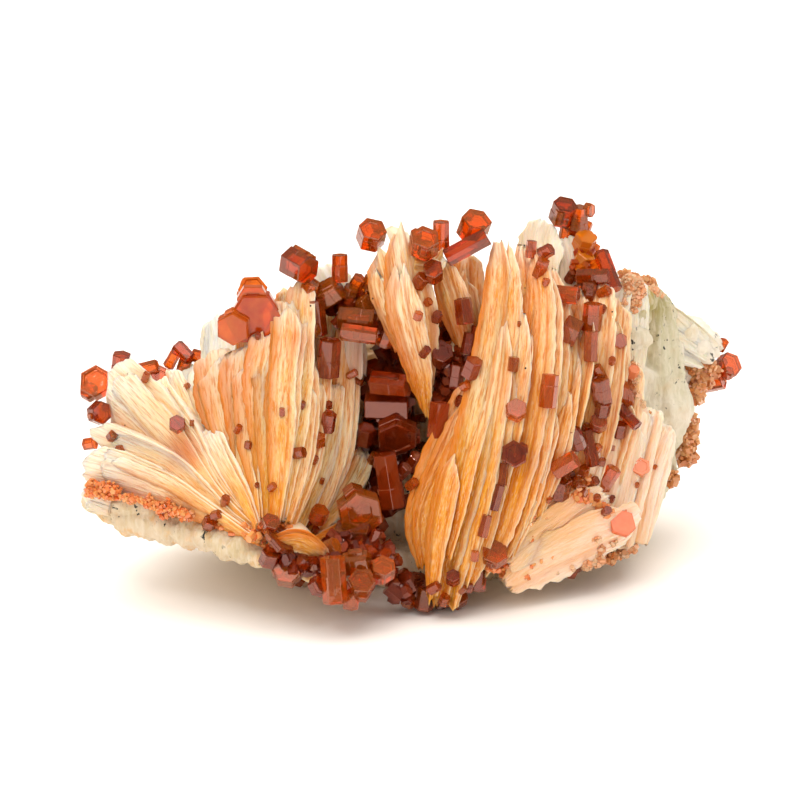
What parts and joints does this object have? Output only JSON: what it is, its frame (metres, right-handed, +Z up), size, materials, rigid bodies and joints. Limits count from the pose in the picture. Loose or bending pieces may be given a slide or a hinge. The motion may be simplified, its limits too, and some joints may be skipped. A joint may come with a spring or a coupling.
{
  "type": "vanadinite on barite matrix",
  "caption": "Mineral specimen: fans of thin cream barite blades on a pale host rock, set with small hexagonal red-brown vanadinite crystals, cut flat underneath to stand.",
  "frame": {"origin": "on the flat face that the rock rests on, near its middle", "axes": "+Z up, +X to the right along the longest side, +Y to the back"},
  "size_m": [0.0807, 0.0514, 0.0468],
  "materials": {
    "barite": "silky, from cream to ochre",
    "vanadinite": "glossy, partly see-through red-brown",
    "host_rock": "dull, rough, pale grey-green"
  },
  "bodies": {
    "root": {"barite_left_fan": "barite", "barite_right_fan": "barite", "barite_spear_blades": "barite", "matrix_rock": "host_rock", "vanadinite_fan_foot_1": "vanadinite", "vanadinite_fan_foot_2": "vanadinite", "vanadinite_flank_rim_1": "vanadinite", "vanadinite_front_foot_1": "vanadinite", "vanadinite_front_foot_2": "vanadinite", "vanadinite_front_foot_3": "vanadinite", "vanadinite_hollow_crust_1": "vanadinite", "vanadinite_hollow_foot_1": "vanadinite", "vanadinite_hollow_side_1": "vanadinite", "vanadinite_hollow_side_2": "vanadinite", "vanadinite_hollow_side_3": "vanadinite", "vanadinite_hollow_side_4": "vanadinite", "vanadinite_hollow_side_5": "vanadinite", "vanadinite_left_crest_1": "vanadinite", "vanadinite_left_plate_1": "vanadinite", "vanadinite_left_plate_2": "vanadinite", "vanadinite_left_rim_1": "vanadinite", "vanadinite_left_rim_2": "vanadinite", "vanadinite_left_tip_1": "vanadinite", "vanadinite_left_tip_2": "vanadinite", "vanadinite_left_tip_3": "vanadinite", "vanadinite_lower_left_1": "vanadinite", "vanadinite_lower_left_2": "vanadinite", "vanadinite_lower_left_3": "vanadinite", "vanadinite_right_arm_1": "vanadinite", "vanadinite_right_arm_2": "vanadinite", "vanadinite_right_crevice_1": "vanadinite", "vanadinite_rock_crown_1": "vanadinite", "vanadinite_rock_rim_1": "vanadinite", "vanadinite_rock_rim_2": "vanadinite", "vanadinite_rock_rim_3": "vanadinite", "vanadinite_summit_1": "vanadinite", "vanadinite_summit_2": "vanadinite", "vanadinite_summit_3": "vanadinite", "vanadinite_summit_4": "vanadinite", "vanadinite_top_centre_1": "vanadinite", "vanadinite_top_centre_2": "vanadinite", "vanadinite_top_left_1": "vanadinite", "vanadinite_top_right_1": "vanadinite", "vanadinite_upper_cluster_1": "vanadinite", "vanadinite_upper_cluster_2": "vanadinite"}
  },
  "joints": []
}
